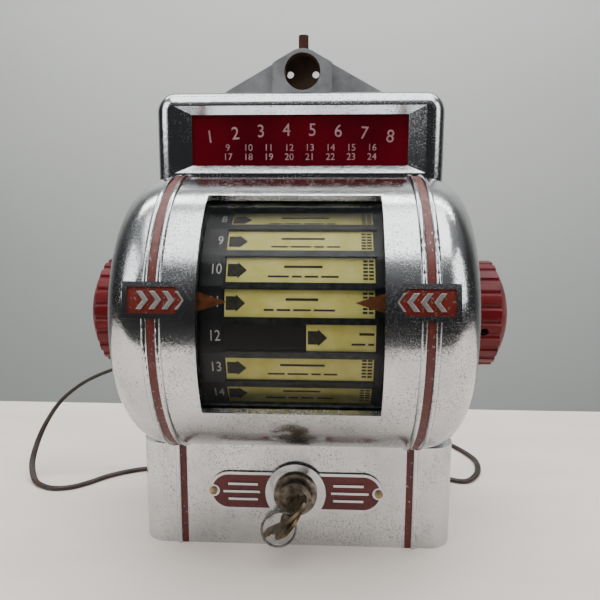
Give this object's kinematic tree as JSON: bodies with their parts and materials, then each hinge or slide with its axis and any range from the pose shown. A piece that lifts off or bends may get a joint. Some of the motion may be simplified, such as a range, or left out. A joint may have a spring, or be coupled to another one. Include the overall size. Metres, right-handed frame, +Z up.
{
  "type": "jukebox wall box selector",
  "caption": "Wall-mounted music selector: plated barrel case with a red sign and fluted side knobs that turn a drum of title strips behind a curved window, over a base with a lock.",
  "frame": {"origin": "bottom centre: on the surface the base stands on, in the middle of the width over the knobs and of the depth from the badges to the wall", "axes": "+X to the right seen from the front, +Y back to the wall, +Z up"},
  "size_m": [0.3847, 0.339, 0.351],
  "materials": {
    "raw_casting": "raw grey die casting",
    "chrome": "worn chrome plate on a casting",
    "sheet_steel": "zinc-plated sheet steel",
    "steel": "turned steel",
    "rusty_steel": "brown rusted steel",
    "bronze": "sintered bronze",
    "brass": "turned brass",
    "phenolic": "brown phenolic board",
    "black_plastic": "black moulded phenolic",
    "coil_red": "varnished coil winding",
    "grey_paint": "grey enamel on sheet steel",
    "drum_paint": "dark grey enamel on sheet steel",
    "black_card": "printed black card",
    "title_card": "aged yellow printed card",
    "knob_red": "dark red moulded plastic",
    "red_enamel": "worn red paint",
    "orange_enamel": "orange red paint",
    "maroon_enamel": "dark red paint",
    "sign_red": "deep red glass printed on its back",
    "clear_glass": "clear glass pane",
    "copper_paint": "brown bronze paint",
    "plate_chrome": "plated pressed plate",
    "nickel": "dull nickel plate",
    "key_brass": "tarnished key brass",
    "spare_brass": "dark key brass",
    "lamp_glass": "lamp bulb",
    "rubber_black": "black rubber",
    "cord_brown": "dark brown cord jacket"
  },
  "bodies": {
    "case": {"rear_casting": "raw_casting", "bearing_bracket_left": "sheet_steel", "bearing_bracket_right": "sheet_steel", "shaft_bush_left": "bronze", "shaft_bush_right": "bronze", "coin_runway": "sheet_steel", "slug_rejector": "sheet_steel", "coin_switch": "black_plastic", "coin_tube": "sheet_steel", "cash_box": "grey_paint", "contact_disc": "phenolic", "contact_studs": "brass", "detent_spring": "steel", "detent_roller": "brass", "terminal_strip": "phenolic", "terminal_screws": "brass", "selector_relay": "coil_red", "lamp_board": "sheet_steel", "sign_lamps": "lamp_glass", "keeper_bracket": "sheet_steel", "plunger_guide": "brass", "plunger_spring": "steel", "cable_grommet": "rubber_black", "bracket_screws": "steel", "power_cord": "cord_brown", "cord_coil": "cord_brown", "cord_plug": "cord_brown"},
    "plunger": {"reject_plunger": "rusty_steel"},
    "drum": {"drum_shaft": "steel", "drum_shell": "drum_paint", "drum_end_left": "drum_paint", "drum_end_right": "drum_paint", "number_band": "black_card", "strip_rails": "drum_paint", "title_strips": "title_card", "detent_wheel": "brass", "wiper_arm": "brass", "knob_left": "knob_red", "knob_right": "knob_red", "knob_screws": "steel"},
    "cover": {"front_cover": "chrome", "stripe_enamel_left": "red_enamel", "stripe_enamel_right": "red_enamel", "badge_enamel_left": "orange_enamel", "badge_enamel_right": "orange_enamel", "sign_glass": "sign_red", "sign_retainer": "sheet_steel", "window_pane": "clear_glass", "window_retainer": "steel", "pointer_left": "copper_paint", "pointer_right": "copper_paint", "nameplate": "plate_chrome", "nameplate_enamel": "maroon_enamel", "nameplate_screws": "brass", "lock_body": "nickel", "lock_nut": "brass"},
    "key": {"lock_plug": "nickel", "door_key": "key_brass"},
    "ring": {"key_ring": "steel"},
    "spare": {"spare_key": "spare_brass"}
  },
  "joints": [
    {"name": "plunger_press", "type": "slide", "parent": "case", "child": "plunger", "axis": [0, 0, -1], "range_m": [0, 0.006], "stiffness_N_per_m": 150, "springref_m": -0.008, "deforming": ["plunger_spring"]},
    {"name": "drum_turn", "type": "hinge", "parent": "case", "child": "drum", "pos_m": [0, 0.004, 0.1545], "axis": [1, 0, 0], "continuous": true},
    {"name": "cover_pull", "type": "slide", "parent": "case", "child": "cover", "axis": [0, -1, 0], "range_m": [0, 0.16]},
    {"name": "key_turn", "type": "hinge", "parent": "cover", "child": "key", "pos_m": [0, -0.0317, 0.038], "axis": [0, -1, 0], "range_deg": [0, 90]},
    {"name": "ring_swing", "type": "hinge", "parent": "key", "child": "ring", "pos_m": [-0.00127, -0.0507, 0.03673], "axis": [0.7071, 0, -0.7071], "range_deg": [-15, 6]},
    {"name": "spare_swing", "type": "hinge", "parent": "ring", "child": "spare", "pos_m": [-0.00283, -0.0507, 0.03517], "axis": [0.7071, 0, -0.7071], "range_deg": [-10, 4]}
  ]
}
